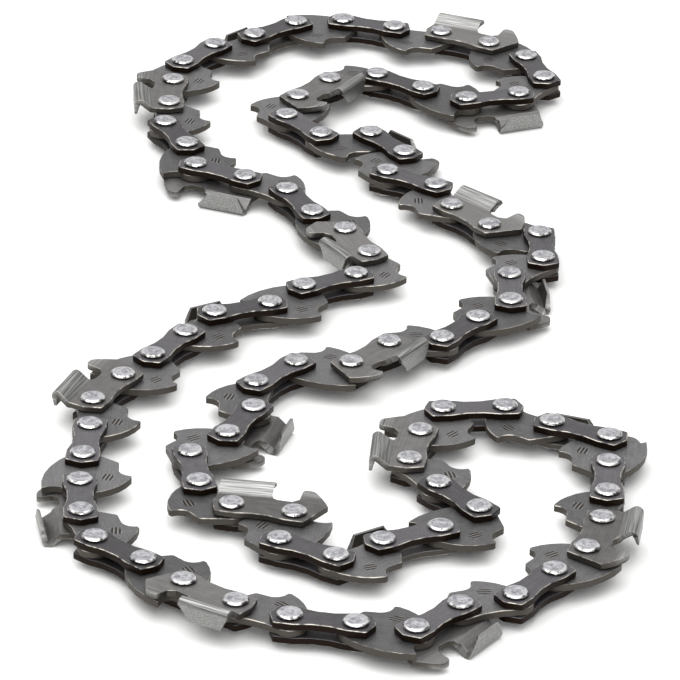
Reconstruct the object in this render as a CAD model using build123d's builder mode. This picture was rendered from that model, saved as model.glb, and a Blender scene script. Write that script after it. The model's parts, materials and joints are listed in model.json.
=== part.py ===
"""Chainsaw chain loop.

Low profile saw chain for a 300 mm guide bar: 44 drive links, 66 tie straps, 22 cutters and 88 rivets,
riveted into an endless loop that lies flat in loose bends. Millimetres, +Z up. X runs to the right and
Y away from the viewer. The origin is on the floor, under the middle of the loop.

Each piece is drawn once in its own frame, with the front rivet at the origin, the rear rivet on +X, the
drive tangs on the +Y side, the cutting edges on the -Y side and the middle of the chain at Z = 0.
"""
import math
import os

from build123d import *

# Rivet spacing. Two pitches of 3/8 inch low profile chain are one side link and one drive link.
side_spacing = 9.83
drive_spacing = 8.81

# Thickness of the stampings and the play between them
gauge = 1.1                  # drive link, as wide as the bar's groove takes
plate = 1.1                  # tie strap and cutter
side_play = 0.05             # drive link to the plate on each side
seat_gap = 0.02              # rivet to the two plates that it holds
running_clearance = 0.05     # rivet hub in a drive link's hole, on the radius
open_clearance = 0.2         # the same, at the one pivot where the loop is open

# Rivet
hub_radius = 1.9
tenon_radius = 1.4
head_radius = 2.0
head_height = 0.6
head_bevel = 0.2

# Tie strap, measured from its rivet line and beyond each rivet
strap_half_width = 2.65
strap_waist = 2.0            # half width at the middle
waist_inset = 1.0            # where the waist starts, inside each rivet
strap_nose = 3.05            # point of each end
strap_corner = 2.0           # where each pointed end starts
edge_bevel = 0.15

# Drive link
boss_radius = 2.75
shoulder_foot = 1.9          # ahead of the front rivet
shoulder_front = 0.55
shoulder_back = 2.4
shoulder_height = 5.6
tip_front = 4.8
tip_width = 0.7
tang_height = 7.75
tang_heel = 2.0              # behind the rear rivet
hollow_depth = 0.75          # of the curved notch in front of the tip
back_bulge = 0.95            # of the tang's curved back
saddle_depth = 0.7           # of the hollow edge opposite the tang, on a link with no bumper

# Bumper on every second drive link
ramp_foot = 1.9              # ahead of the front rivet
bumper_height = 5.85
bumper_tip = 0.85            # behind the rear rivet
bumper_heel = 0.3            # likewise, at the foot of the undercut
ramp_bulge = 1.5
undercut = 0.45

# Cutter
fold_line = 3.5              # from the rivet line to where the plate is bent
cutter_front = 4.6           # ahead of the front rivet, at the fold line
cutter_back = 2.9            # behind the rear rivet
gauge_height = 6.6           # depth gauge, from the rivet line
gauge_rise = 0.45            # outwards from the plate
gauge_back = 0.2             # behind the front rivet
gauge_top = 1.8              # length of its level top
gullet_floor = 3.2
gullet_radius = 1.0
tooth_front = 4.4            # behind the front rivet
tooth_height = 6.85          # at the cutting edge
heel_height = 5.85           # at the back end
tooth_rise = 1.4             # top of the rounded crest, outwards from the plate
crest_radius = 0.6
top_plate = 0.9              # thickness of the part that is turned in
top_plate_width = 3.2        # across the chain
edge_sweep = 2.4             # set-back of the cutting edge across that width
heel_clip = 1.0

# Heading of every link in degrees, anticlockwise from +X, as the loop lies in the photograph. Each row is
# one repeat of eight links: strap, drive link, right cutter, drive link, strap, drive link, left cutter,
# drive link.
lay = (
    (-40, -45, -37, -25, -10, -6, 49, 22),
    (53, 55, 75, 83, 87, 87, 154, 146),
    (187, 246, 260, 300, 309, 228, 208, 218),
    (151, 76, 167, 126, 100, 51, 67, 89),
    (51, 1, 52, 14, 53, 52, 90, 50),
    (92, 163, 130, 108, 148, 70, 127, 186),
    (129, 78, 55, 17, -33, -29, 17, 58),
    (108, 139, 152, 168, 164, 191, 221, 216),
    (236, 261, 268, 268, 295, 282, 332, 326),
    (297, 310, 295, 256, 210, 232, 204, 240),
    (240, 240, 244, 270, 267, 270, 274, 287),
)
open_pitch = 30              # the loop is open at the rear rivet of this pitch's drive link

# Levels across the chain, from its middle
plate_inner = gauge / 2 + side_play
plate_outer = plate_inner + plate
head_top = plate_outer + seat_gap + head_height
crest_top = plate_outer + tooth_rise


def drive_link(has_bumper, rear_clearance):
    """A drive link: two bosses, the tang that runs in the bar's groove, and on some a bumper."""
    with BuildPart() as link:
        with BuildSketch(Plane.XY.offset(-gauge / 2)):
            with Locations((drive_spacing / 2, 0)):
                SlotCenterToCenter(drive_spacing, 2 * boss_radius)
            tip_back = tip_front + tip_width
            heel = (drive_spacing + tang_heel, math.sqrt(boss_radius**2 - tang_heel**2))
            with BuildLine():
                front = Polyline(
                    (-shoulder_foot, math.sqrt(boss_radius**2 - shoulder_foot**2)),
                    (shoulder_front, shoulder_height),
                    (shoulder_back, shoulder_height),
                )
                SagittaArc(front @ 1, (tip_front, tang_height), -hollow_depth)
                Line((tip_front, tang_height), (tip_back, tang_height))
                back = SagittaArc((tip_back, tang_height), heel, back_bulge)
                Line(back @ 1, front @ 0)
            make_face()
            if has_bumper:
                foot = (-ramp_foot, -math.sqrt(boss_radius**2 - ramp_foot**2))
                tip = (drive_spacing + bumper_tip, -bumper_height)
                heel = (drive_spacing + bumper_heel, -math.sqrt(boss_radius**2 - bumper_heel**2))
                with BuildLine():
                    SagittaArc(foot, tip, -ramp_bulge)
                    SagittaArc(tip, heel, undercut)
                    Line(heel, foot)
                make_face()
            else:
                with BuildLine():
                    SagittaArc((0, -boss_radius), (drive_spacing, -boss_radius), saddle_depth)
                    Line((drive_spacing, -boss_radius), (0, -boss_radius))
                make_face(mode=Mode.SUBTRACT)
            Circle(hub_radius + running_clearance, mode=Mode.SUBTRACT)
            with Locations((drive_spacing, 0)):
                Circle(hub_radius + rear_clearance, mode=Mode.SUBTRACT)
        extrude(amount=gauge)
    return link.part


def rivet_holes():
    """The two tenon holes of a side plate, drawn in the active sketch."""
    with Locations((0, 0), (side_spacing, 0)):
        Circle(tenon_radius + seat_gap, mode=Mode.SUBTRACT)


def tie_strap():
    """A tie strap for the upper side: waisted, with pointed ends and a bevelled outer edge."""
    with BuildPart() as strap:
        with BuildSketch(Plane.XY.offset(plate_inner)):
            with BuildLine():
                Polyline(
                    (-strap_nose, 0), (-strap_corner, strap_half_width), (waist_inset, strap_half_width)
                )
                SagittaArc(
                    (waist_inset, strap_half_width),
                    (side_spacing - waist_inset, strap_half_width),
                    strap_waist - strap_half_width,
                )
                Polyline(
                    (side_spacing - waist_inset, strap_half_width),
                    (side_spacing + strap_corner, strap_half_width),
                    (side_spacing + strap_nose, 0),
                )
                mirror(about=Plane.XZ)
            make_face()
            rivet_holes()
        extrude(amount=plate)
        rim = strap.faces().sort_by(Axis.Z)[-1].outer_wire().edges()
        chamfer(rim, edge_bevel)
    return strap.part


def tooth_section(station, height):
    """The tooth's bent sheet at one station, as a sketch: plate, flared side and turned-in top."""
    # the flared side touches the crest's round and meets the plate at the fold line
    across = height - fold_line - crest_radius
    up = tooth_rise - crest_radius
    flare = math.atan2(up, across) + math.asin(crest_radius / math.hypot(across, up))
    corner = plate_outer + (height - fold_line) * math.tan(flare)
    inner_fold = fold_line + plate * math.tan(flare / 2)
    inner_crest = plate_inner + (height - top_plate - inner_fold) * math.tan(flare)
    edge = crest_top - top_plate_width
    with BuildSketch(Plane.YZ.offset(station)) as section:
        with BuildLine():
            Polyline(
                (0, plate_outer),
                (-fold_line, plate_outer),
                (-height, corner),
                (-height, edge),
                (top_plate - height, edge),
                (top_plate - height, inner_crest),
                (-inner_fold, plate_inner),
                (0, plate_inner),
                close=True,
            )
        make_face()
        crest = section.vertices().sort_by(Axis.Y)[-1]
        fillet(crest, crest_radius)
    return section.sketch


def cutter():
    """A right-hand cutter, for the upper side: depth gauge, gullet and tooth on one strap."""
    back = side_spacing + cutter_back
    with BuildPart() as tooth:
        # the sheet as it is bent, before its outline is cut
        loft([tooth_section(tooth_front, tooth_height), tooth_section(back, heel_height)], ruled=True)
        with BuildSketch(Plane.YZ.offset(gauge_back)):
            with BuildLine():
                Polyline(
                    (0, plate_outer),
                    (-fold_line, plate_outer),
                    (-gauge_height, plate_outer + gauge_rise),
                    (-gauge_height, plate_inner + gauge_rise),
                    (-fold_line, plate_inner),
                    (0, plate_inner),
                    close=True,
                )
            make_face()
        extrude(amount=-(gauge_back + cutter_front))
        with BuildSketch(Plane.XY.offset(plate_inner)):
            with BuildLine():
                Polyline(
                    (-cutter_front, -fold_line),
                    (-cutter_front, strap_half_width),
                    (side_spacing + strap_nose, strap_half_width),
                    (side_spacing + strap_nose, -fold_line),
                    close=True,
                )
            make_face()
        extrude(amount=plate)
        # the outline, cut straight through
        with BuildSketch(Plane.XY.offset(plate_inner - top_plate_width)) as outline:
            with BuildLine():
                Polyline(
                    (-cutter_front, -fold_line),
                    (-strap_corner, strap_half_width),
                    (waist_inset, strap_half_width),
                )
                SagittaArc(
                    (waist_inset, strap_half_width),
                    (side_spacing - waist_inset, strap_half_width),
                    strap_waist - strap_half_width,
                )
                Polyline(
                    (side_spacing - waist_inset, strap_half_width),
                    (side_spacing + strap_corner, strap_half_width),
                    (side_spacing + strap_nose, 0),
                    (back, -fold_line),
                    (back, -tooth_height),
                    (tooth_front, -tooth_height),
                    (tooth_front, -gullet_floor),
                    (gauge_back, -gullet_floor),
                    (gauge_back, -gauge_height),
                    (gauge_back - gauge_top, -gauge_height),
                )
                SagittaArc(
                    (gauge_back - gauge_top, -gauge_height),
                    (-cutter_front, -fold_line),
                    -(gauge_height - fold_line) / 4,
                )
            make_face()
            gullet = outline.vertices().sort_by(lambda corner: abs(corner.Y + gullet_floor))[:2]
            fillet(gullet, gullet_radius)
            rivet_holes()
        extrude(amount=3 * top_plate_width, mode=Mode.INTERSECT)
        # the slanting cutting edge and the clipped heel of the top plate
        edge = crest_top - top_plate_width
        with BuildSketch(Plane.XZ.offset(heel_height - top_plate)):
            Polygon(
                (tooth_front, crest_top - crest_radius),
                (tooth_front, edge),
                (tooth_front + edge_sweep, edge),
                align=None,
            )
            Polygon(
                (back, crest_top - crest_radius),
                (back, edge),
                (back - heel_clip, edge),
                align=None,
            )
        extrude(amount=tooth_height, mode=Mode.SUBTRACT)
    return tooth.part


def rivet():
    """A rivet: the hub that the drive links turn on, two tenons and two peened heads."""
    hub_end = plate_inner - seat_gap
    head_foot = plate_outer + seat_gap
    with BuildPart() as pin:
        with BuildSketch(Plane.XZ):
            with BuildLine():
                Polyline(
                    (hub_radius, 0),
                    (hub_radius, hub_end),
                    (tenon_radius, hub_end),
                    (tenon_radius, head_foot),
                    (head_radius, head_foot),
                    (head_radius, head_top - head_bevel),
                    (head_radius - head_bevel, head_top),
                    (0, head_top),
                )
                mirror(about=Plane.XZ)
                Line((0, head_top), (0, -head_top))
            make_face()
        revolve(axis=Axis.Z)
    return pin.part


def close_loop(headings, lengths):
    """The headings in radians, each nudged as little as it takes for the links to end where they start."""
    turned = [math.radians(h) for h in headings]
    for _ in range(20):
        steps = [(n * math.cos(t), n * math.sin(t)) for n, t in zip(lengths, turned)]
        gap_x, gap_y = (sum(axis) for axis in zip(*steps))
        xx = sum(y * y for _, y in steps)
        xy = sum(-x * y for x, y in steps)
        yy = sum(x * x for x, _ in steps)
        det = xx * yy - xy * xy
        pull_x = (yy * gap_x - xy * gap_y) / det
        pull_y = (xx * gap_y - xy * gap_x) / det
        turned = [t + pull_x * y - pull_y * x for t, (x, y) in zip(turned, steps)]
    return turned


def rivet_points(headings, lengths):
    """Where each link's front rivet stands."""
    x, y, points = 0.0, 0.0, []
    for heading, length in zip(headings, lengths):
        points.append((x, y))
        x += length * math.cos(heading)
        y += length * math.sin(heading)
    return points


# One of each piece, in its own frame
strap = tie_strap()
right_cutter = cutter()
left_cutter = mirror(right_cutter, about=Plane.XY)
lower_strap = mirror(strap, about=Plane.XY)
plain_link = drive_link(False, running_clearance)
bumper_link = drive_link(True, running_clearance)
open_link = drive_link(open_pitch % 2 == 1, open_clearance)
pin = rivet()

# The lay of the loop
bends = [heading for row in lay for heading in row]
spans = [side_spacing, drive_spacing] * (len(bends) // 2)
headings = close_loop(bends, spans)
rivets = rivet_points(headings, spans)
pitches = len(bends) // 2


def pieces_of(pitch):
    """The name of a pitch, and its pieces: [(piece, number of the link that it stands on)]."""
    side, drive = 2 * pitch - 2, 2 * pitch - 1
    if pitch % 2:
        name, upper, lower = "tie_link", strap, lower_strap
    elif pitch % 4 == 2:
        name, upper, lower = "right_cutter_link", right_cutter, lower_strap
    else:
        name, upper, lower = "left_cutter_link", strap, left_cutter
    link = bumper_link if pitch % 2 else plain_link
    if pitch == open_pitch:
        link = open_link
    pieces = [(upper, side), (lower, side), (pin, side), (pin, drive), (link, drive)]
    return f"{name}_{pitch:02d}", pieces


def place(number):
    """Where a link stands in the loop, before the loop is centred."""
    x, y = rivets[number]
    return Location((x, y, crest_top), (0, 0, math.degrees(headings[number])))


# The middle of the loop's box
boxes = [
    piece.moved(place(number)).bounding_box()
    for pitch in range(1, pitches + 1)
    for piece, number in pieces_of(pitch)[1]
]
middle_x = (min(box.min.X for box in boxes) + max(box.max.X for box in boxes)) / 2
middle_y = (min(box.min.Y for box in boxes) + max(box.max.Y for box in boxes)) / 2
centred = Location((-middle_x, -middle_y, 0))

os.makedirs("parts", exist_ok=True)
for pitch in range(1, pitches + 1):
    name, pieces = pieces_of(pitch)
    with BuildPart() as chain_pitch:
        add([piece.moved(centred * place(number)) for piece, number in pieces], clean=False)
    chain_pitch.part.label = name
    export_step(chain_pitch.part, f"parts/{name}.step")
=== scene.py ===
"""Saw chain loop: drive links, tie straps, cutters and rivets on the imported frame, and a studio.

Each piece is drawn once in millimetres in its own frame, with the front rivet at the origin, the rear
rivet on +X, the drive tangs on the +Y side, the cutting edges on the -Y side and the middle of the chain at
Z = 0. Copies of it are then set where the frame has that piece.
"""
import json
import math
from types import SimpleNamespace

import bmesh
import bpy
from bpy.props import FloatProperty, FloatVectorProperty, PointerProperty
from mathutils import Matrix, Vector

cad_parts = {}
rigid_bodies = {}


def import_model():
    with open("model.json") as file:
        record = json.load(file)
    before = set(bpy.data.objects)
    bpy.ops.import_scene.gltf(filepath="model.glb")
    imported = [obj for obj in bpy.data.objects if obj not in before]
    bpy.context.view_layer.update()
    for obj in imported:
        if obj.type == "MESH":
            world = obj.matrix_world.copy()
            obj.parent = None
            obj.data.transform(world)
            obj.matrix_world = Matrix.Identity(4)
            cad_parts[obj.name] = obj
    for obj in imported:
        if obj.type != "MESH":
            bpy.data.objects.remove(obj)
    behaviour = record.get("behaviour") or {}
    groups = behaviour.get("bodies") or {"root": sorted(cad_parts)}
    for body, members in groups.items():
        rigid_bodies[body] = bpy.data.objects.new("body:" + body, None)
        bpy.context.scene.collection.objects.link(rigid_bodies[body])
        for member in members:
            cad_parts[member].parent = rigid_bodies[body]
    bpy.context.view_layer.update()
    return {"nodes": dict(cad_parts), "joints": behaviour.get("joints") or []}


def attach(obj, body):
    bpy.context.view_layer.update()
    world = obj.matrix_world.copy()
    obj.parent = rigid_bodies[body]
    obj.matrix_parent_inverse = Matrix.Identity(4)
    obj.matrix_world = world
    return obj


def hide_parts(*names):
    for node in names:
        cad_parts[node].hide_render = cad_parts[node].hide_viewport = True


bl_info = {
    "name": "Saw Chain Loop",
    "version": (1, 0, 0),
    "blender": (4, 5, 0),
    "location": "3D View > Sidebar > Saw Chain",
    "description": "Builds the pieces of a saw chain on its packed frame, with a studio",
    "category": "Object",
}

MM = 0.001
ARC_STEP = math.radians(11)
SHARP = math.radians(33)
# turns a piece for the upper side into one for the lower side
LOWER = Matrix.Scale(-1, 4, (0, 0, 1))

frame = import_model()


def linear(code):
    """A colour given as sRGB hex, as linear values."""
    values = [int(code[i:i + 2], 16) / 255 for i in (1, 3, 5)]
    return [v / 12.92 if v <= 0.04045 else ((v + 0.055) / 1.055) ** 2.4 for v in values] + [1.0]


def length(name, description, millimetres):
    """A size of the chain, kept in metres and shown in the scene's unit."""
    return FloatProperty(
        name=name, description=description, default=millimetres * MM, unit="LENGTH", precision=5
    )


def tint(name, description, code):
    """A colour of a finish, from its sRGB hex value."""
    return FloatVectorProperty(
        name=name, description=description, default=linear(code), subtype="COLOR", size=4, min=0, max=1
    )


class ChainSizes(bpy.types.PropertyGroup):
    """Sizes of the stampings and rivets."""
    side_spacing: length("Side link pitch", "Between the two rivets of a strap or a cutter", 9.83)
    drive_spacing: length("Drive link pitch", "Between the two rivets of a drive link", 8.81)
    gauge: length("Gauge", "Thickness of a drive link", 1.1)
    plate: length("Plate", "Thickness of a tie strap", 1.1)
    side_play: length("Side play", "Between a drive link and the plate beside it", 0.05)
    edge_round: length("Edge round", "Rounding that tumbling leaves on the stamped edges", 0.16)
    corner_round: length("Corner round", "Rounding of the stampings' corners", 0.3)
    hub_radius: length("Hub", "Radius of the rivet where a drive link turns on it", 1.9)
    tenon_radius: length("Tenon", "Radius of the rivet in a plate's hole", 1.4)
    head_radius: length("Rivet head", "Radius of the peened head", 2.0)
    head_height: length("Head height", "From the plate to the top of the head", 0.62)
    strap_half_width: length("Strap half width", "From the rivet line to the strap's edge", 2.65)
    strap_waist: length("Strap waist", "Half width at the middle of the strap", 2.0)
    waist_inset: length("Waist start", "Where the waist starts, inside each rivet", 1.0)
    strap_nose: length("Strap nose", "From the rivet to the point of the end", 3.05)
    strap_corner: length("Strap corner", "From the rivet to where the end starts", 2.0)
    boss_radius: length("Boss", "Radius of a drive link round its rivets", 2.75)
    shoulder_height: length("Shoulder", "Height of the shoulder in front of the tang", 5.6)
    tang_height: length("Tang", "From the rivet line to the tip of the tang", 7.75)
    bumper_height: length("Bumper", "From the rivet line to the tip of the bumper", 5.85)
    fold_line: length("Fold line", "From the rivet line to where a cutter is bent", 3.5)
    gauge_height: length("Depth gauge", "From the rivet line to the top of the depth gauge", 6.6)
    gullet_floor: length("Gullet floor", "From the rivet line to the floor of the gullet", 3.2)
    gullet_radius: length("Gullet round", "Rounding at the floor of the gullet", 1.0)
    tooth_front: length("Tooth front", "From the front rivet to the side cutting edge", 4.4)
    tooth_height: length("Tooth height", "From the rivet line to the cutting edge", 6.85)
    heel_height: length("Heel height", "The same, at the back end of the tooth", 5.85)
    tooth_rise: length("Tooth rise", "From the plate to the top of the crest", 1.4)
    crest_radius: length("Crest round", "Outer radius of the bend into the top plate", 1.0)
    cutter_sheet: length("Cutter sheet", "Thickness of the cutter", 0.95)
    top_plate_width: length("Top plate", "Width of the turned-in top plate", 3.2)


class ChainFinish(bpy.types.PropertyGroup):
    """Colours of the steels."""
    strap_dark: tint("Strap, dark", "Oil-blackened strap where the film is thick", "#4d4b4d")
    strap_light: tint("Strap, light", "Oil-blackened strap where it is rubbed", "#686669")
    # also used as the painted shade under the rivet heads and in the stamped strokes
    strap_wall: tint("Strap wall", "Sheared wall of a strap, under burnt oil", "#1a1009")
    link_dark: tint("Drive link, dark", "Tumbled drive link in the hollows", "#5c5b5b")
    link_light: tint("Drive link, light", "Tumbled drive link on the high spots", "#767576")
    cutter_dark: tint("Cutter, dark", "Cutter's plate where the film is thick", "#605e5d")
    cutter_light: tint("Cutter, light", "Cutter's plate where it is rubbed", "#807e7d")
    link_wall: tint("Drive link wall", "Sheared wall of a drive link or a cutter", "#4a4641")
    # bare worn steel on the rounded edges, also light enough to be their painted highlight
    worn_edge: tint("Worn edge", "Bare steel on the rounded edges", "#bdb8ae")
    chrome: tint("Chrome", "Frosted hard chrome on the teeth", "#a0a09e")
    # burnished rim, painted near-white so that it is also a painted highlight
    rivet_rim: tint("Rivet rim", "Burnished rim of the heads", "#f2f1ef")
    rivet_bright: tint("Rivet, bright", "Peened steel of the heads on the high spots", "#cfcfd2")
    rivet_dull: tint("Rivet, dull", "Peened steel of the heads in the hollows", "#94949a")
    floor: tint("Floor", "Pale studio floor", "#f6f6f5")


class ChainStudio(bpy.types.PropertyGroup):
    """Camera and light."""
    camera_height: length("Camera height", "Above the floor", 376.98)
    camera_distance: length("Camera distance", "In front of the loop's middle", 777.51)
    camera_shift: length("Camera place", "To the right of the loop's middle", -1.28)
    camera_tilt: FloatProperty(
        name="Tilt", description="Looking down from level", default=math.radians(26.148), subtype="ANGLE"
    )
    camera_roll: FloatProperty(
        name="Roll", description="Of the camera, clockwise", default=math.radians(1.55), subtype="ANGLE"
    )
    lens: FloatProperty(name="Lens", description="Focal length in mm on a 36 mm sensor", default=277.3, min=1)
    key_power: FloatProperty(
        name="Key light", description="Soft box overhead", default=10, unit="POWER", min=0
    )
    fill_power: FloatProperty(
        name="Fill light", description="Soft box in front", default=2, unit="POWER", min=0
    )
    sky: FloatProperty(
        name="Sky", description="Strength of the light from straight above", default=1.22, min=0
    )


def millimetres():
    """The chain's sizes in millimetres."""
    sizes = bpy.context.scene.saw_chain_sizes
    return SimpleNamespace(**{name: getattr(sizes, name) / MM for name in ChainSizes.__annotations__})


def add(tree, kind, sockets=None, **settings):
    """Adds a shader node. A socket takes a constant, or the output of another node."""
    node = tree.nodes.new("ShaderNode" + kind)
    for key, value in settings.items():
        setattr(node, key, value)
    for key, value in (sockets or {}).items():
        if isinstance(value, bpy.types.NodeSocket):
            tree.links.new(value, node.inputs[key])
        else:
            node.inputs[key].default_value = value
    return node


def new_tree(name):
    """An empty material, and its node tree."""
    material = bpy.data.materials.new(name)
    material.use_nodes = True
    material.node_tree.nodes.clear()
    return material, material.node_tree


def stamped_steel(name, dark, light, cut, marked):
    """Tumbled strip steel with an oil-black film.

    It gives the eye a dull speckled grey with fine lines along the strip, patches where the film is rubbed
    thin, darker sheared walls, and broken bright lines on the rounded edges of the outer face, where
    tumbling wears the steel bare; their light colour is also a painted highlight.
    """
    finish = bpy.context.scene.saw_chain_finish
    material, tree = new_tree(name)
    own = add(tree, "UVMap", uv_map="own").outputs["UV"]
    seed = add(tree, "Attribute", attribute_name="seed").outputs["Fac"]
    rim = add(tree, "Attribute", attribute_name="rim").outputs["Fac"]
    wall = add(tree, "Attribute", attribute_name="wall").outputs["Fac"]
    place = add(tree, "TexCoord").outputs["Object"]
    # rolling lines 0.15 mm apart and about 5 mm long, along the strip
    lines = add(tree, "Mapping", {"Vector": own, "Scale": (1 / 5, 1 / 0.15, 1)}).outputs[0]
    shifted = add(tree, "Math", {0: seed, 1: 90.0}, operation="MULTIPLY").outputs[0]
    grain = add(
        tree, "TexNoise", {"Vector": lines, "W": shifted, "Scale": 1.0, "Detail": 3.0}, noise_dimensions="4D"
    ).outputs["Fac"]
    # patches of film about 1.6 mm across
    film = add(tree, "TexNoise", {"Vector": place, "Scale": 1 / (1.6 * MM), "Detail": 4.0}).outputs["Fac"]
    # pits and grains about 0.3 mm across
    pits = add(tree, "TexNoise", {"Vector": place, "Scale": 1 / (0.3 * MM), "Detail": 2.0}).outputs["Fac"]
    tone = add(tree, "Math", {0: film, 1: seed}, operation="ADD").outputs[0]
    rubbed = add(tree, "MapRange", {"Value": tone, "From Min": 0.45, "From Max": 1.35}).outputs[0]
    body = add(tree, "Mix", {0: rubbed, 6: dark, 7: light}, data_type="RGBA").outputs[2]
    mottle = add(tree, "Math", {0: grain, 1: pits}, operation="ADD").outputs[0]
    streak = add(
        tree, "MapRange", {"Value": mottle, "From Min": 0.7, "From Max": 1.3, "To Min": 0.74, "To Max": 1.26}
    ).outputs[0]
    lined = add(tree, "Mix", {0: 1.0, 6: body, 7: streak}, data_type="RGBA", blend_type="MULTIPLY").outputs[2]
    edged = add(tree, "Mix", {0: wall, 6: lined, 7: cut}, data_type="RGBA").outputs[2]
    # rounded edges of the outer face: bare worn steel in broken patches, whose light colour is also a painted
    # highlight
    bare_and_lit = add(tree, "MapRange", {"Value": film, "From Min": 0.42, "From Max": 0.56}).outputs[0]
    bright = add(tree, "Math", {0: rim, 1: bare_and_lit}, operation="MULTIPLY").outputs[0]
    colour = add(tree, "Mix", {0: bright, 6: edged, 7: finish.worn_edge}, data_type="RGBA").outputs[2]
    height = mottle
    if marked:
        # where such links carry stamped marks: slanting strokes 0.32 mm wide and 0.62 mm apart, painted
        # dark as the shade in their recesses, with a lighter strip beside each as a painted highlight, in a
        # field of 2.1 by 1.6 mm between the rivets and the tang
        part = add(tree, "SeparateXYZ", {0: own}).outputs
        slant = add(tree, "Math", {0: part[0], 1: 0.3, 2: part[1]}, operation="MULTIPLY_ADD").outputs[0]
        turn = add(tree, "Math", {0: slant, 1: 0.62}, operation="MODULO").outputs[0]
        stroke = add(tree, "Math", {0: turn, 1: 0.2, 2: 0.16}, operation="COMPARE").outputs[0]
        highlight_band = add(tree, "Math", {0: turn, 1: 0.41, 2: 0.07}, operation="COMPARE").outputs[0]
        across = add(tree, "Math", {0: part[0], 1: 5.5, 2: 1.05}, operation="COMPARE").outputs[0]
        along = add(tree, "Math", {0: part[1], 1: 4.1, 2: 0.8}, operation="COMPARE").outputs[0]
        field = add(tree, "Math", {0: across, 1: along}, operation="MULTIPLY").outputs[0]
        mark = add(tree, "Math", {0: field, 1: stroke}, operation="MULTIPLY").outputs[0]
        # the strokes are painted near-black: painted shade in the stamped recesses
        sunk = add(tree, "Math", {0: mark, 1: 0.92}, operation="MULTIPLY").outputs[0]
        highlight_strip = add(tree, "Math", {0: field, 1: highlight_band}, operation="MULTIPLY").outputs[0]
        lit = add(tree, "Math", {0: highlight_strip, 1: 0.4}, operation="MULTIPLY").outputs[0]
        highlighted = add(tree, "Mix", {0: lit, 6: colour, 7: finish.worn_edge}, data_type="RGBA").outputs[2]
        colour = add(tree, "Mix", {0: sunk, 6: highlighted, 7: finish.strap_wall}, data_type="RGBA").outputs[2]
        height = add(tree, "Math", {0: mark, 1: -3.0, 2: mottle}, operation="MULTIPLY_ADD").outputs[0]
    dull = add(tree, "MapRange", {"Value": film, "To Min": 0.36, "To Max": 0.56}).outputs[0]
    rough = add(tree, "Math", {0: bright, 1: -0.2, 2: dull}, operation="MULTIPLY_ADD").outputs[0]
    metal = add(tree, "MapRange", {"Value": wall, "To Min": 0.8, "To Max": 0.35}).outputs[0]
    gleam = add(tree, "MapRange", {"Value": wall, "To Min": 0.5, "To Max": 0.12}).outputs[0]
    bump = add(tree, "Bump", {"Height": height, "Strength": 0.4, "Distance": 0.02 * MM}).outputs[0]
    along_strip = add(tree, "Tangent", direction_type="UV_MAP", uv_map="own").outputs[0]
    shader = add(tree, "BsdfPrincipled", {
        "Base Color": colour, "Metallic": metal, "Roughness": rough, "Normal": bump,
        "Specular IOR Level": gleam, "Anisotropic": 0.35, "Tangent": along_strip,
    })
    add(tree, "OutputMaterial", {"Surface": shader.outputs[0]})
    return material


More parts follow.
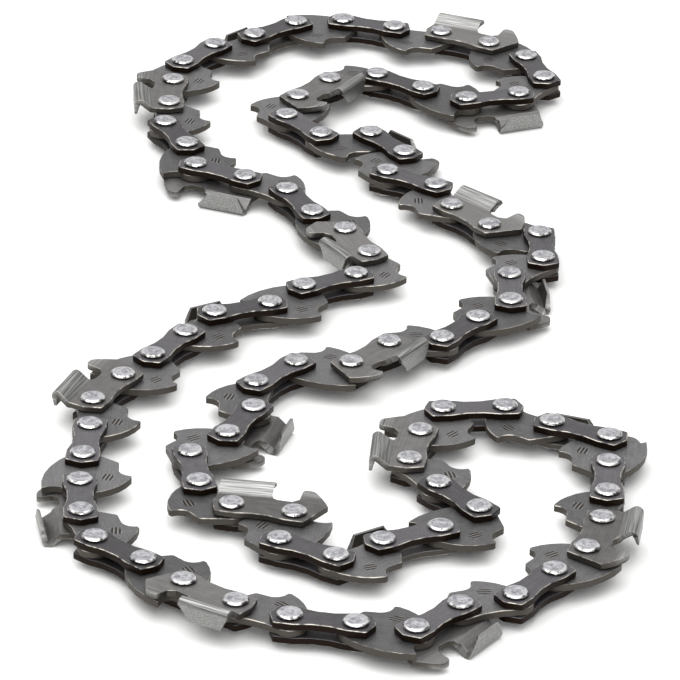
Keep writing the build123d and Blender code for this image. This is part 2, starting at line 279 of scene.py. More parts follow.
def chromed_cutter(name):
    """Blackened strip that is hard-chromed and ground on the tooth.

    It gives the eye a warm grey plate with scratches along the strip, a tooth drawn in dark and bright
    streaks along its crest, and a frosted silver top plate.
    """
    finish = bpy.context.scene.saw_chain_finish
    material, tree = new_tree(name)
    own = add(tree, "UVMap", uv_map="own").outputs["UV"]
    plating = add(tree, "Attribute", attribute_name="plating").outputs["Fac"]
    rim = add(tree, "Attribute", attribute_name="rim").outputs["Fac"]
    wall = add(tree, "Attribute", attribute_name="wall").outputs["Fac"]
    seed = add(tree, "Attribute", attribute_name="seed").outputs["Fac"]
    place = add(tree, "TexCoord").outputs["Object"]
    # patches of film about 1.6 mm across
    film = add(tree, "TexNoise", {"Vector": place, "Scale": 1 / (1.6 * MM), "Detail": 4.0}).outputs["Fac"]
    # grains of the frosted chrome, drawn as coarse as 0.2 mm so that they show
    frost = add(tree, "TexNoise", {"Vector": place, "Scale": 1 / (0.2 * MM), "Detail": 3.0}).outputs["Fac"]
    # drawing streaks 0.25 mm apart and about 8 mm long, along the strip
    lines = add(tree, "Mapping", {"Vector": own, "Scale": (1 / 8, 1 / 0.25, 1)}).outputs[0]
    shifted = add(tree, "Math", {0: seed, 1: 90.0}, operation="MULTIPLY").outputs[0]
    streak = add(
        tree, "TexNoise", {"Vector": lines, "W": shifted, "Scale": 1.0, "Detail": 2.0}, noise_dimensions="4D"
    ).outputs["Fac"]
    tone = add(tree, "Math", {0: film, 1: seed}, operation="ADD").outputs[0]
    rubbed = add(tree, "MapRange", {"Value": tone, "From Min": 0.45, "From Max": 1.35}).outputs[0]
    speckle = add(tree, "Math", {0: streak, 1: frost}, operation="ADD").outputs[0]
    scratch = add(
        tree, "MapRange", {"Value": speckle, "From Min": 0.7, "From Max": 1.3, "To Min": 0.78, "To Max": 1.22}
    ).outputs[0]
    plain = add(
        tree, "Mix", {0: rubbed, 6: finish.cutter_dark, 7: finish.cutter_light}, data_type="RGBA"
    ).outputs[2]
    body = add(
        tree, "Mix", {0: 1.0, 6: plain, 7: scratch}, data_type="RGBA", blend_type="MULTIPLY"
    ).outputs[2]
    edged = add(tree, "Mix", {0: wall, 6: body, 7: finish.link_wall}, data_type="RGBA").outputs[2]
    drawn = add(
        tree, "MapRange", {"Value": streak, "From Min": 0.36, "From Max": 0.64, "To Min": 0.42, "To Max": 1.3}
    ).outputs[0]
    frosted = add(
        tree, "MapRange", {"Value": frost, "From Min": 0.35, "From Max": 0.65, "To Min": 0.5, "To Max": 1.0}
    ).outputs[0]
    shade = add(tree, "Mix", {0: wall, 2: drawn, 3: frosted}).outputs[0]
    silver = add(
        tree, "Mix", {0: 1.0, 6: finish.chrome, 7: shade}, data_type="RGBA", blend_type="MULTIPLY"
    ).outputs[2]
    plated = add(tree, "Mix", {0: plating, 6: edged, 7: silver}, data_type="RGBA").outputs[2]
    # rounded edges of the outer face: bare worn steel in broken patches, whose light colour is also a painted
    # highlight
    bare_and_lit = add(tree, "MapRange", {"Value": film, "From Min": 0.42, "From Max": 0.58}).outputs[0]
    bright = add(tree, "Math", {0: rim, 1: bare_and_lit}, operation="MULTIPLY").outputs[0]
    colour = add(tree, "Mix", {0: bright, 6: plated, 7: finish.worn_edge}, data_type="RGBA").outputs[2]
    rough = add(tree, "MapRange", {"Value": frost, "To Min": 0.36, "To Max": 0.56}).outputs[0]
    metal = add(tree, "MapRange", {"Value": plating, "To Min": 0.8, "To Max": 1.0}).outputs[0]
    bump = add(tree, "Bump", {"Height": speckle, "Strength": 0.4, "Distance": 0.02 * MM}).outputs[0]
    shader = add(tree, "BsdfPrincipled", {
        "Base Color": colour, "Metallic": metal, "Roughness": rough, "Normal": bump,
    })
    add(tree, "OutputMaterial", {"Surface": shader.outputs[0]})
    return material


def peened_rivet(name):
    """Mild steel rivet, spun over cold.

    It gives the eye a bright head, mottled by the riveting tool in broken rings and smears, with a
    burnished rim, also a painted highlight, and a foot painted near-black as the shade under the head.
    """
    finish = bpy.context.scene.saw_chain_finish
    material, tree = new_tree(name)
    own = add(tree, "UVMap", uv_map="own").outputs["UV"]
    seed = add(tree, "Attribute", attribute_name="seed").outputs["Fac"]
    # foot: the faces under the head, painted near-black as the shade that falls there
    foot = add(tree, "Attribute", attribute_name="wall").outputs["Fac"]
    place = add(tree, "TexCoord").outputs["Object"]
    radius = add(tree, "VectorMath", {0: own}, operation="LENGTH").outputs["Value"]
    turn = add(tree, "TexGradient", {"Vector": own}, gradient_type="RADIAL").outputs["Fac"]
    # rings 0.35 mm apart, broken about four times in a turn
    ring = add(tree, "Math", {0: radius, 1: 1 / 0.35}, operation="MULTIPLY").outputs[0]
    broken = add(tree, "Math", {0: turn, 1: 4.0}, operation="MULTIPLY").outputs[0]
    polar = add(tree, "CombineXYZ", {0: ring, 1: broken, 2: seed}).outputs[0]
    swirl = add(tree, "TexNoise", {"Vector": polar, "Scale": 1.0, "Detail": 2.0}).outputs["Fac"]
    # smears about 0.8 mm across
    smear = add(tree, "TexNoise", {"Vector": place, "Scale": 1 / (0.8 * MM), "Detail": 3.0}).outputs["Fac"]
    worked = add(tree, "Math", {0: swirl, 1: smear}, operation="ADD").outputs[0]
    dull = add(tree, "MapRange", {"Value": worked, "From Min": 0.85, "From Max": 1.2}).outputs[0]
    middle = add(tree, "MapRange", {"Value": radius, "From Min": 1.78, "From Max": 1.66}).outputs[0]
    face = add(
        tree, "Mix", {0: dull, 6: finish.rivet_bright, 7: finish.rivet_dull}, data_type="RGBA"
    ).outputs[2]
    # the rim is darkened in random patches as long as the smears
    rim_dark_patches = add(
        tree, "MapRange", {"Value": smear, "From Min": 0.5, "From Max": 0.6, "To Max": 0.85}
    ).outputs[0]
    rim = add(tree, "Mix", {0: rim_dark_patches, 6: finish.rivet_rim, 7: finish.strap_wall}, data_type="RGBA").outputs[2]
    # past 1.78 mm out the head takes the near-white rim colour: burnished steel and a painted highlight
    head = add(tree, "Mix", {0: middle, 6: rim, 7: face}, data_type="RGBA").outputs[2]
    # painted shade: the foot takes the near-black colour of a strap wall
    colour = add(tree, "Mix", {0: foot, 6: head, 7: finish.strap_wall}, data_type="RGBA").outputs[2]
    metal = add(tree, "MapRange", {"Value": foot, "To Min": 1.0, "To Max": 0.3}).outputs[0]
    gleam = add(tree, "MapRange", {"Value": foot, "To Min": 0.5, "To Max": 0.1}).outputs[0]
    rough = add(tree, "MapRange", {"Value": middle, "To Min": 0.2, "To Max": 0.38}).outputs[0]
    bump = add(tree, "Bump", {"Height": worked, "Strength": 0.5, "Distance": 0.03 * MM}).outputs[0]
    shader = add(tree, "BsdfPrincipled", {
        "Base Color": colour, "Metallic": metal, "Roughness": rough, "Normal": bump,
        "Specular IOR Level": gleam,
    })
    add(tree, "OutputMaterial", {"Surface": shader.outputs[0]})
    return material


def arc(bm, here, there, sagitta):
    """Spins a vertex along an arc to a point, bulging to the left by the sagitta. Gives the last vertex."""
    chord = there - here.co
    half = chord.length / 2
    radius = (half**2 + sagitta**2) / (2 * sagitta)
    left = Vector((-chord.y, chord.x, 0)).normalized()
    centre = here.co + chord / 2 + left * (sagitta - radius)
    angle = 4 * math.atan2(sagitta, half)
    made = bmesh.ops.spin(
        bm, geom=[here], cent=centre, axis=(0, 0, 1), angle=-angle, steps=max(2, round(abs(angle) / ARC_STEP))
    )
    last = [part for part in made["geom_last"] if isinstance(part, bmesh.types.BMVert)][0]
    last.co = there
    return last


def draw(bm, *corners):
    """Fills an outline. A corner with a third number is reached by an arc of that sagitta."""
    first = here = bm.verts.new((*corners[0], 0))
    for x, y, *sagitta in corners[1:]:
        there = Vector((x, y, 0))
        if sagitta:
            here = arc(bm, here, there, sagitta[0])
        else:
            corner = bm.verts.new(there)
            bm.edges.new((here, corner))
            here = corner
    bm.edges.new((here, first))
    bmesh.ops.edgeloop_fill(bm, edges=[edge for edge in bm.edges if not edge.link_faces])


def thicken(bm, thickness):
    """Turns a sheet into a closed plate, with its outer face up."""
    bmesh.ops.remove_doubles(bm, verts=bm.verts, dist=0.002)
    bmesh.ops.recalc_face_normals(bm, faces=bm.faces)
    if sum(face.normal.z * face.calc_area() for face in bm.faces) < 0:
        bmesh.ops.reverse_faces(bm, faces=bm.faces)
    bmesh.ops.solidify(bm, geom=bm.faces[:], thickness=thickness)
    bmesh.ops.recalc_face_normals(bm, faces=bm.faces)


def level_at(bm, bottom):
    """Moves a flat plate so that its lower face is at this level."""
    lowest = min(vert.co.z for vert in bm.verts)
    bmesh.ops.translate(bm, vec=(0, 0, bottom - lowest), verts=bm.verts)


def finish_edges(bm, spacing, hole, round_by, corner, rim_from, tooth_from=math.inf):
    """Rounds the stamped corners and edges, and marks rims and upright walls for the materials.

    A rounded edge counts as a rim where it faces up by more than rim_from. Edges further out than tooth_from
    are rounded by themselves, because their short steps would limit the others.
    """
    def in_hole(vert):
        return min(vert.co.xy.length, (vert.co.xy - Vector((spacing, 0))).length) < hole + 0.05

    def is_upright(edge):
        along = edge.verts[0].co - edge.verts[1].co
        return along.xy.length < 0.01

    def rounded(edges, offset):
        return bmesh.ops.bevel(
            bm, geom=edges, offset=offset, offset_type="OFFSET", affect="EDGES", segments=3, profile=0.5,
            material=-1, clamp_overlap=True,
        )["faces"]

    def sharp_edges():
        return [
            edge for edge in bm.edges
            if edge.is_manifold and edge.calc_face_angle() > SHARP and not all(map(in_hole, edge.verts))
            and (edge.is_convex or is_upright(edge))
        ]

    rim = bm.faces.layers.float.new("rim")
    wall = bm.faces.layers.float.new("wall")
    if corner:
        rounded([edge for edge in sharp_edges() if is_upright(edge)], corner)
    bent = bm.faces.layers.float.new("bent")
    for on_tooth in (False, True):
        edges = [
            edge for edge in sharp_edges()
            if any(-vert.co.y > tooth_from for vert in edge.verts) == on_tooth
            and not any(face[bent] for face in edge.link_faces)
        ]
        for face in rounded(edges, round_by):
            face[bent] = 1.0
    bm.normal_update()
    for face in bm.faces:
        face.smooth = True
        # rims take the worn-edge colour, which is also a painted highlight on them
        face[rim] = 1.0 if face[bent] and face.normal.z > rim_from else 0.0
        face[wall] = 1.0 if abs(face.normal.z) < 0.35 and not face[rim] else 0.0
    for edge in bm.edges:
        edge.smooth = edge.calc_face_angle(0) < SHARP and len({face[bent] for face in edge.link_faces}) == 1


def unfold(bm, girth=None):
    """Gives a piece its UV map: its own X and Y in millimetres, or the way along a bent sheet for Y."""
    own = bm.loops.layers.uv.new("own")
    for face in bm.faces:
        for loop in face.loops:
            x, y = loop.vert.co.xy
            loop[own].uv = (x, -loop.vert[girth] if girth and loop.vert[girth] else y)


def tie_strap():
    """A tie strap for the upper side: waisted, with pointed ends."""
    mm = millimetres()
    far = mm.side_spacing
    bm = bmesh.new()
    draw(
        bm, (-mm.strap_nose, 0), (-mm.strap_corner, mm.strap_half_width),
        (mm.waist_inset, mm.strap_half_width),
        (far - mm.waist_inset, mm.strap_half_width, mm.strap_waist - mm.strap_half_width),
        (far + mm.strap_corner, mm.strap_half_width), (far + mm.strap_nose, 0),
        (far + mm.tenon_radius, 0), (far - mm.tenon_radius, 0, -mm.tenon_radius),
        (mm.tenon_radius, 0), (-mm.tenon_radius, 0, -mm.tenon_radius),
    )
    bmesh.ops.mirror(bm, geom=bm.verts[:] + bm.edges[:] + bm.faces[:], axis="Y", merge_dist=0.002)
    thicken(bm, mm.plate)
    level_at(bm, mm.gauge / 2 + mm.side_play)
    finish_edges(bm, far, mm.tenon_radius, mm.edge_round, mm.corner_round, 0.3)
    unfold(bm)
    return bm


def drive_link(has_bumper):
    """A drive link: two bosses, the tang that runs in the bar's groove, and on some a bumper."""
    mm = millimetres()
    far, boss, hub = mm.drive_spacing, mm.boss_radius, mm.hub_radius + 0.05

    def on_boss(ahead):
        return math.sqrt(boss**2 - ahead**2)

    def boss_sagitta(x1, y1, x2, y2):
        """Of the boss's arc between two points on it."""
        half = math.hypot(x2 - x1, y2 - y1) / 2
        return boss - math.sqrt(boss**2 - half**2)

    bm = bmesh.new()
    # along the link: where the tang leaves the bosses, its shoulder and its tip; then how deep its curves are
    foot, heel = 1.9, 2.0
    shoulder_front, shoulder_back, tip_front, tip_back = 0.55, 2.4, 4.8, 5.5
    hollow, bulge = 0.75, 0.95
    draw(
        bm, (-boss, 0), (-foot, on_boss(foot), boss_sagitta(-boss, 0, -foot, on_boss(foot))),
        (shoulder_front, mm.shoulder_height), (shoulder_back, mm.shoulder_height),
        (tip_front, mm.tang_height, -hollow), (tip_back, mm.tang_height),
        (far + heel, on_boss(heel), bulge), (far + boss, 0, boss_sagitta(heel, on_boss(heel), boss, 0)),
        (far + hub, 0), (far - hub, 0, -hub), (hub, 0), (-hub, 0, -hub),
    )
    if has_bumper:
        ramp, heel, tip = 1.9, 0.3, 0.85
        notch, swell = 0.45, 1.5
        edge = [
            (far + heel, -on_boss(heel), boss_sagitta(heel, on_boss(heel), boss, 0)),
            (far + tip, -mm.bumper_height, -notch), (-ramp, -on_boss(ramp), swell),
            (-boss, 0, boss_sagitta(ramp, on_boss(ramp), boss, 0)),
        ]
    else:
        quarter, waist = boss * (1 - math.sqrt(0.5)), 0.7
        edge = [(far, -boss, quarter), (0, -boss, -waist), (-boss, 0, quarter)]
    draw(bm, (far + boss, 0), *edge, (-hub, 0), (hub, 0, -hub), (far - hub, 0), (far + hub, 0, -hub))
    thicken(bm, mm.gauge)
    level_at(bm, -mm.gauge / 2)
    finish_edges(bm, far, hub, mm.edge_round, mm.corner_round, 0.3)
    unfold(bm)
    return bm


def rivet():
    """A rivet: hub, tenons, and two peened heads with a flat top, a tight rim and an undercut foot."""
    mm = millimetres()
    inner = mm.gauge / 2 + mm.side_play
    outer = inner + mm.plate
    top = outer + mm.head_height
    head = mm.head_radius
    bm = bmesh.new()
    # radius and height along half the outline, from the middle of the head to the middle of the hub
    corners = [
        (0, top - 0.07), (0.5, top - 0.05), (1.1, top), (head - 0.42, top - 0.01), (head - 0.3, top - 0.02),
        (head - 0.2, top - 0.06), (head - 0.06, top - 0.18), (head, top - 0.3), (head - 0.02, top - 0.34),
        (head - 0.26, outer + 0.02), (mm.tenon_radius, outer + 0.02), (mm.tenon_radius, inner - 0.02),
        (mm.hub_radius, inner - 0.02), (mm.hub_radius, 0),
    ]
    here = None
    for radius, height in corners:
        corner = bm.verts.new((radius, 0, height))
        if here:
            bm.edges.new((here, corner))
        here = corner
    bmesh.ops.mirror(bm, geom=bm.verts[:] + bm.edges[:], axis="Z", merge_dist=0.002)
    bmesh.ops.spin(
        bm, geom=bm.verts[:] + bm.edges[:], cent=(0, 0, 0), axis=(0, 0, 1), angle=math.tau, steps=32,
        use_merge=True,
    )
    bmesh.ops.remove_doubles(bm, verts=bm.verts, dist=0.002)
    bmesh.ops.recalc_face_normals(bm, faces=bm.faces)
    # the faces under the head are marked for the painted shade at the foot
    foot = bm.faces.layers.float.new("wall")
    for face in bm.faces:
        face.smooth = True
        face[foot] = 1.0 if abs(face.calc_center_median().z) < top - 0.35 else 0.0
    for edge in bm.edges:
        edge.smooth = edge.calc_face_angle(0) < SHARP and len({face[foot] for face in edge.link_faces}) == 1
    unfold(bm)
    return bm


def cutter():
    """A right-hand cutter, for the upper side: depth gauge, gullet and tooth bent from one sheet."""
    mm = millimetres()
    far = mm.side_spacing
    outer = mm.gauge / 2 + mm.side_play + mm.plate
    crest = outer + mm.tooth_rise
    floor = mm.gullet_floor
    # the tooth's back end, its fold's drop, its flare's slope, and how its top plate is cut and ground
    back, fold_margin, fold_drop, flare_slope = far + 2.9, mm.fold_line - floor, 0.8, math.radians(40)
    edge_sweep, heel_clip, undercut, thinned_by = 1.8, 1.0, 0.45, 0.5
    # the depth gauge from its front to its back, how wide it is on top, and how it leans and is rounded
    front, nose_foot, gauge_back, gauge_top = 4.6, 4.47, 0.2, 1.8
    nose_curve, gauge_lean, tip_round = 1.2, 0.45, 0.6
    # where chrome starts: over how much of the flare it comes in, and from where it is on the gauge
    mid_gullet, plated_over, gauge_plated_from, gauge_plated_most = 2.5, 0.5, 4.7, 0.9
    columns, flare_rows, crest_rows, top_rows = 6, 8, 6, 3
    rows, row_girth = flare_rows + crest_rows + top_rows, 0.45

    def in_gullet(height):
        """How far the gullet's round stands out at this distance from the rivet line."""
        below = max(0.0, 1 - (height - floor) / mm.gullet_radius)
        return mm.gullet_radius * (1 - math.sqrt(max(0.0, 1 - below**2)))

    def fold_at(x):
        """The fold's distance from the rivet line, which drops towards the heel as the crest does."""
        return mm.fold_line - fold_drop * (x - mm.tooth_front) / (back - mm.tooth_front)

    def tooth_at(along, row):
        """A point of the tooth's outer face: along it from 0 to 1, and up its bent section by rows."""
        turned = max(0, row - flare_rows - crest_rows) / top_rows
        sweep = edge_sweep * turned**0.8
        clip = heel_clip * turned
        reach = back - mm.tooth_front
        straight = mm.tooth_front + reach * along + sweep * (1 - along) - clip * along
        height = mm.tooth_height + (mm.heel_height - mm.tooth_height) * (straight - mm.tooth_front) / reach
        centre = height - mm.crest_radius
        start = Vector((fold_at(straight), outer))
        end = Vector((
            centre - mm.crest_radius * math.sin(flare_slope),
            crest - mm.crest_radius * (1 - math.cos(flare_slope)),
        ))
        if row == 0:
            y, z = start.x - fold_margin, outer
        elif row <= flare_rows:
            y, z = start.lerp(end, (row - 1) / (flare_rows - 1))
        elif row <= flare_rows + crest_rows:
            turn = (math.pi / 2 + flare_slope) * (1 - (row - flare_rows) / crest_rows)
            y, z = centre + mm.crest_radius * math.cos(turn), crest + mm.crest_radius * (math.sin(turn) - 1)
        else:
            inner = crest - mm.top_plate_width
            y, z = height, crest - mm.crest_radius + (inner - crest + mm.crest_radius) * turned
        return Vector((straight - in_gullet(y) * (1 - along), -y, z))

    def gauge_at(along, part):
        """A point of the depth gauge's outer face, which leans outwards a little."""
        y = floor + (mm.gauge_height - floor) * part
        nose = -nose_foot + (nose_foot + gauge_back - gauge_top) * part**nose_curve
        rear = gauge_back + in_gullet(y)
        z = outer + gauge_lean * max(0.0, (y - mm.fold_line) / (mm.gauge_height - mm.fold_line))
        return Vector((nose + (rear - nose) * along, -y, z))

    bm = bmesh.new()
    slant = (front - mm.strap_corner) / (mm.strap_half_width + mm.fold_line)
    side = -mm.strap_corner - slant * mm.strap_half_width
    hole = mm.tenon_radius
    draw(
        bm, (side, 0), (-mm.strap_corner, mm.strap_half_width), (mm.waist_inset, mm.strap_half_width),
        (far - mm.waist_inset, mm.strap_half_width, mm.strap_waist - mm.strap_half_width),
        (far + mm.strap_corner, mm.strap_half_width), (far + mm.strap_nose, 0),
        (far + hole, 0), (far - hole, 0, -hole), (hole, 0), (-hole, 0, -hole),
    )
    steps = [1 - step / columns for step in range(columns + 1)]
    draw(
        bm, (far + mm.strap_nose, 0), *[tooth_at(along, 0).xy for along in steps],
        *[gauge_at(along, 0).xy for along in (1, 0.5, 0)], (side, 0),
        (-hole, 0), (hole, 0, -hole), (far - hole, 0), (far + hole, 0, -hole),
    )
    bmesh.ops.translate(bm, vec=(0, 0, outer), verts=bm.verts)
    ground = bm.verts.layers.float.new("ground")
    outside = bm.verts.layers.float.new("outside")
    tip = bm.verts.layers.float.new("tip")
    inward = bm.verts.layers.float.new("inward")
    girth = bm.verts.layers.float.new("girth")
    tooth = bmesh.ops.create_grid(bm, x_segments=columns, y_segments=rows, size=0.5)["verts"]
    for vert in tooth:
        along, row = vert.co.x + 0.5, round((vert.co.y + 0.5) * rows)
        vert[ground] = 1.0 if along < 0.01 and row > 2 else 0.0
        vert[inward] = max(0, row - flare_rows - crest_rows) / top_rows
        vert[girth] = floor + row_girth * row
        vert.co = tooth_at(along, row)
    fin = bmesh.ops.create_grid(bm, x_segments=2, y_segments=4, size=0.5)["verts"]
    for vert in fin:
        vert[tip] = 1.0 if abs(vert.co.x) > 0.4 and vert.co.y > 0.4 else 0.0
        vert.co = gauge_at(vert.co.x + 0.5, vert.co.y + 0.5)
    sheet = {tuple(round(value, 4) for value in vert.co) for vert in bm.verts}
    thicken(bm, mm.cutter_sheet)
    # the cutting edges are ground back under the sheet, and the top plate thins out to its free edge
    for vert in bm.verts:
        vert[outside] = 1.0 if tuple(round(value, 4) for value in vert.co) in sheet else 0.0
        if not vert[outside]:
            vert.co.x += undercut * vert[ground]
            vert.co.y = max(vert.co.y - thinned_by * vert[inward], -mm.gauge_height)
    corners = [edge for edge in bm.edges if all(vert[tip] for vert in edge.verts)]
    bmesh.ops.bevel(
        bm, geom=corners, offset=tip_round, offset_type="OFFSET", affect="EDGES", segments=4, profile=0.5,
        material=-1, clamp_overlap=True,
    )
    finish_edges(
        bm, far, hole, round_by=0.8 * mm.edge_round, corner=0, rim_from=0.2, tooth_from=floor - 0.3
    )
    plating = bm.verts.layers.float.new("plating")
    for vert in bm.verts:
        if vert.co.x > mid_gullet:
            amount = min(1, max(0, (-vert.co.y - fold_at(vert.co.x)) / plated_over))
        else:
            amount = min(gauge_plated_most, max(0, -vert.co.y - gauge_plated_from))
        vert[plating] = amount * vert[outside]
    unfold(bm, girth)
    return bm


def rivet_ends(name):
    """The middles of a pitch's two rivets, from their flat ends on the side that has no cutter."""
    side = -1 if name.startswith("right") else 1
    corners = {tuple(round(value, 6) for value in vert.co) for vert in frame["nodes"][name].data.vertices}
    furthest = max(side * z for _, _, z in corners)
    rims = [Vector((x, y)) for x, y, z in corners if side * z > furthest - 0.01 * MM]
    half = bpy.context.scene.saw_chain_sizes.side_spacing / 2
    ends = [[], []]
    for point in rims:
        ends[(point - rims[0]).length > half].append(point)
    return [sum(points, Vector((0, 0))) / len(points) for points in ends]


def loop_of_pitches():
    """Every pitch of the chain in order: its name, and where its side link and its drive link stand."""
    names = sorted(frame["nodes"], key=lambda name: name[-2:])
    pivots = {
        frozenset((joint["parent"], joint["child"])): Vector(joint["pos_m"]) for joint in frame["joints"]
    }
    level = next(iter(pivots.values())).z
    rivets = {}
    for before, name, after in zip(names[-1:] + names[:-1], names, names[1:] + names[:1]):
        ends = rivet_ends(name)
        ahead = pivots.get(frozenset((before, name)))
        behind = pivots.get(frozenset((name, after)))
        if ahead is not None:
            ends.sort(key=lambda end: (end - ahead.xy).length)
        else:
            ends.sort(key=lambda end: -(end - behind.xy).length)
        rivets[name] = ends

    def standing(start, end):
        turn = math.atan2(end.y - start.y, end.x - start.x)
        return Matrix.Translation((*start, level)) @ Matrix.Rotation(turn, 4, "Z")

    pitches = []
    for number, name in enumerate(names):
        front, rear = rivets[name]
        following = rivets[names[(number + 1) % len(names)]][0]
        pitches.append(SimpleNamespace(
            name=name, number=name[-2:], seed=number * 0.618034 % 1,
            side=standing(front, rear), drive=standing(rear, following),
        ))
    return pitches


def set_piece(name, pitch, copies, material):
    """One object from placed copies of drawn pieces, riding on the pitch that it belongs to."""
    mesh = bpy.data.meshes.new(name)
    whole = bmesh.new()
    for drawn, matrix in copies:
        copy = drawn.copy()
        bmesh.ops.transform(copy, matrix=matrix @ Matrix.Scale(MM, 4), verts=copy.verts)
        if matrix.determinant() < 0:
            bmesh.ops.reverse_faces(copy, faces=copy.faces)
        copy.to_mesh(mesh)
        copy.free()
        whole.from_mesh(mesh)
    seed = whole.faces.layers.float.new("seed")
    for face in whole.faces:
        face[seed] = pitch.seed
    whole.to_mesh(mesh)
    whole.free()
    mesh.materials.append(material)
    piece = bpy.data.objects.new(name, mesh)
    bpy.context.scene.collection.objects.link(piece)
    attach(piece, pitch.name)
    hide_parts(pitch.name)


class SAWCHAIN_OT_drive_links(bpy.types.Operator):
    """Builds the drive links, every second one with a bumper"""
    bl_idname = "saw_chain.drive_links"
    bl_label = "Drive Links"

    def execute(self, context):
        finish = context.scene.saw_chain_finish
        steel = stamped_steel(
            "Tumbled_drive_link_steel", finish.link_dark, finish.link_light, finish.link_wall, True
        )
        plain, bumper = drive_link(False), drive_link(True)
        for pitch in loop_of_pitches():
            drawn = bumper if pitch.name.startswith("tie") else plain
            set_piece(f"drive_link_{pitch.number}", pitch, [(drawn, pitch.drive)], steel)
        return {"FINISHED"}


class SAWCHAIN_OT_tie_straps(bpy.types.Operator):
    """Builds the tie straps: two to a tie link, and one opposite each cutter"""
    bl_idname = "saw_chain.tie_straps"
    bl_label = "Tie Straps"

    def execute(self, context):
        finish = context.scene.saw_chain_finish
        steel = stamped_steel(
            "Oil_blackened_strap_steel", finish.strap_dark, finish.strap_light, finish.strap_wall, False
        )
        strap = tie_strap()
        for pitch in loop_of_pitches():
            upper, lower = (strap, pitch.side), (strap, pitch.side @ LOWER)
            if pitch.name.startswith("tie"):
                set_piece(f"tie_straps_{pitch.number}", pitch, [upper, lower], steel)
            else:
                kept = lower if pitch.name.startswith("right") else upper
                set_piece(f"tie_strap_{pitch.number}", pitch, [kept], steel)
        return {"FINISHED"}


class SAWCHAIN_OT_cutters(bpy.types.Operator):
    """Builds the cutters: right-hand ones on the upper side, left-hand ones on the lower side"""
    bl_idname = "saw_chain.cutters"
    bl_label = "Cutters"

    def execute(self, context):
        steel = chromed_cutter("Chromed_cutter_steel")
        drawn = cutter()
        for pitch in loop_of_pitches():
            if pitch.name.startswith("right"):
                set_piece(f"right_cutter_{pitch.number}", pitch, [(drawn, pitch.side)], steel)
            elif pitch.name.startswith("left"):
                set_piece(f"left_cutter_{pitch.number}", pitch, [(drawn, pitch.side @ LOWER)], steel)
        return {"FINISHED"}


class SAWCHAIN_OT_rivets(bpy.types.Operator):
    """Builds the rivets, two to a side link"""
    bl_idname = "saw_chain.rivets"
    bl_label = "Rivets"

    def execute(self, context):
        steel = peened_rivet("Peened_rivet_steel")
        drawn = rivet()
        for pitch in loop_of_pitches():
            set_piece(f"rivets_{pitch.number}", pitch, [(drawn, pitch.side), (drawn, pitch.drive)], steel)
        return {"FINISHED"}


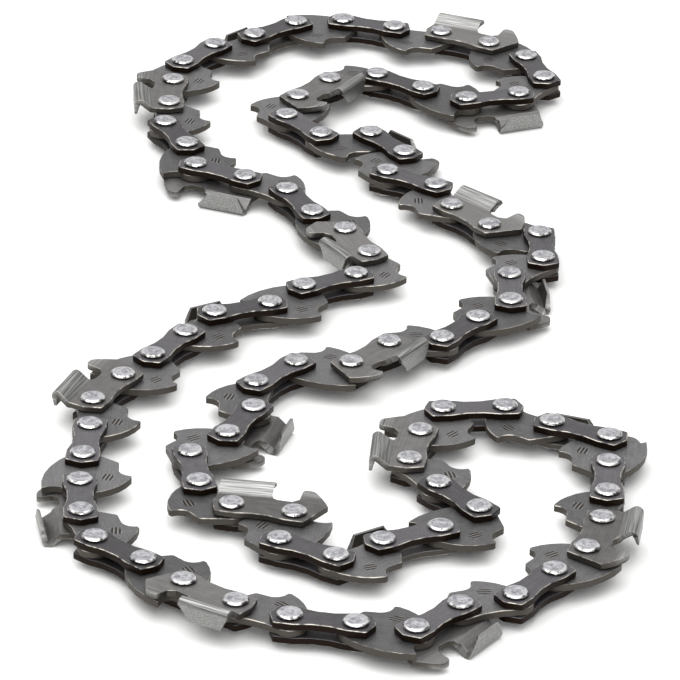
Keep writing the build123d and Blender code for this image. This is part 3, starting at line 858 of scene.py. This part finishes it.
class SAWCHAIN_OT_stage(bpy.types.Operator):
    """Builds the floor, the lights and the camera"""
    bl_idname = "saw_chain.stage"
    bl_label = "Studio"

    def execute(self, context):
        scene = context.scene
        studio = scene.saw_chain_studio
        # matt painted board: an even near-white that takes soft shadows
        board, tree = new_tree("Pale_matt_board")
        place = add(tree, "TexCoord").outputs["Object"]
        # faint roller marks, 8 mm across
        marks = add(tree, "TexNoise", {"Vector": place, "Scale": 1 / (8 * MM)}).outputs["Fac"]
        rough = add(tree, "MapRange", {"Value": marks, "To Min": 0.75, "To Max": 0.85}).outputs[0]
        shader = add(tree, "BsdfPrincipled", {
            "Base Color": scene.saw_chain_finish.floor, "Roughness": rough, "Specular IOR Level": 0.2,
        })
        add(tree, "OutputMaterial", {"Surface": shader.outputs[0]})
        bm = bmesh.new()
        bmesh.ops.create_grid(bm, x_segments=1, y_segments=1, size=4)
        mesh = bpy.data.meshes.new("floor")
        bm.to_mesh(mesh)
        bm.free()
        mesh.materials.append(board)
        floor = bpy.data.objects.new("floor", mesh)
        scene.collection.objects.link(floor)

        world = bpy.data.worlds.new("soft_room")
        world.use_nodes = True
        room = world.node_tree
        room.nodes.clear()
        # bright overhead, dimmer towards the floor and at the two sides, so that polished rims show contrast
        part = add(room, "SeparateXYZ", {0: add(room, "TexCoord").outputs["Generated"]}).outputs
        lift = add(
            room, "MapRange", {"Value": part[2], "From Max": 0.85, "To Min": 0.42, "To Max": 1.0}
        ).outputs[0]
        side = add(room, "Math", {0: part[0]}, operation="ABSOLUTE").outputs[0]
        flags = add(
            room, "MapRange", {"Value": side, "From Min": 0.4, "From Max": 0.9, "To Min": 1.0, "To Max": 0.25}
        ).outputs[0]
        shaped = add(room, "Math", {0: lift, 1: flags}, operation="MULTIPLY").outputs[0]
        strength = add(room, "Math", {0: shaped, 1: studio.sky}, operation="MULTIPLY").outputs[0]
        glow = add(room, "Background", {"Color": (1, 1, 1, 1), "Strength": strength})
        add(room, "OutputWorld", {"Surface": glow.outputs[0]})
        scene.world = world
        scene.view_settings.view_transform = "Standard"

        middle = Vector((0, 0, 0))
        for name, power, size, spot in (
            ("overhead_softbox", studio.key_power, 1.7, Vector((-0.25, -0.2, 1.0))),
            ("front_softbox", studio.fill_power, 0.5, Vector((0.1, -0.95, 0.65))),
        ):
            lamp = bpy.data.lights.new(name, "AREA")
            lamp.energy = power
            lamp.shape = "DISK"
            lamp.size = size
            light = bpy.data.objects.new(name, lamp)
            light.location = spot
            light.rotation_euler = (middle - spot).to_track_quat("-Z", "Y").to_euler()
            scene.collection.objects.link(light)

        tilt, roll = studio.camera_tilt, studio.camera_roll
        ahead = Vector((0, math.cos(tilt), -math.sin(tilt)))
        level_right = Vector((1, 0, 0))
        level_up = level_right.cross(ahead)
        right = level_right * math.cos(roll) + level_up * math.sin(roll)
        up = level_up * math.cos(roll) - level_right * math.sin(roll)
        lens = bpy.data.cameras.new("camera")
        lens.sensor_width = 36
        lens.lens = studio.lens
        lens.clip_start = 0.05
        lens.clip_end = 20
        camera = bpy.data.objects.new("camera", lens)
        turned = Matrix((right, up, -ahead)).transposed().to_4x4()
        stand = Vector((studio.camera_shift, -studio.camera_distance, studio.camera_height))
        camera.matrix_world = Matrix.Translation(stand) @ turned
        scene.collection.objects.link(camera)
        scene.camera = camera
        return {"FINISHED"}


OPERATORS = (
    SAWCHAIN_OT_drive_links,
    SAWCHAIN_OT_tie_straps,
    SAWCHAIN_OT_cutters,
    SAWCHAIN_OT_rivets,
    SAWCHAIN_OT_stage,
)


class SAWCHAIN_PT_sidebar(bpy.types.Panel):
    """Lists the chain's pieces, sizes, finishes and studio"""
    bl_idname = "SAWCHAIN_PT_sidebar"
    bl_label = "Saw Chain"
    bl_space_type = "VIEW_3D"
    bl_region_type = "UI"
    bl_category = "Saw Chain"

    def draw(self, context):
        for operator in OPERATORS:
            self.layout.operator(operator.bl_idname)
        for group in ("saw_chain_sizes", "saw_chain_finish", "saw_chain_studio"):
            settings = getattr(context.scene, group)
            box = self.layout.box()
            for name in settings.__annotations__:
                box.prop(settings, name)


CLASSES = (ChainSizes, ChainFinish, ChainStudio, *OPERATORS, SAWCHAIN_PT_sidebar)


def register():
    for made in CLASSES:
        bpy.utils.register_class(made)
    bpy.types.Scene.saw_chain_sizes = PointerProperty(type=ChainSizes)
    bpy.types.Scene.saw_chain_finish = PointerProperty(type=ChainFinish)
    bpy.types.Scene.saw_chain_studio = PointerProperty(type=ChainStudio)


def unregister():
    del bpy.types.Scene.saw_chain_studio
    del bpy.types.Scene.saw_chain_finish
    del bpy.types.Scene.saw_chain_sizes
    for made in reversed(CLASSES):
        bpy.utils.unregister_class(made)


def main():
    """Registers the classes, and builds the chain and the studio."""
    register()
    bpy.ops.saw_chain.drive_links()
    bpy.ops.saw_chain.tie_straps()
    bpy.ops.saw_chain.cutters()
    bpy.ops.saw_chain.rivets()
    bpy.ops.saw_chain.stage()


if __name__ == "__main__":
    main()
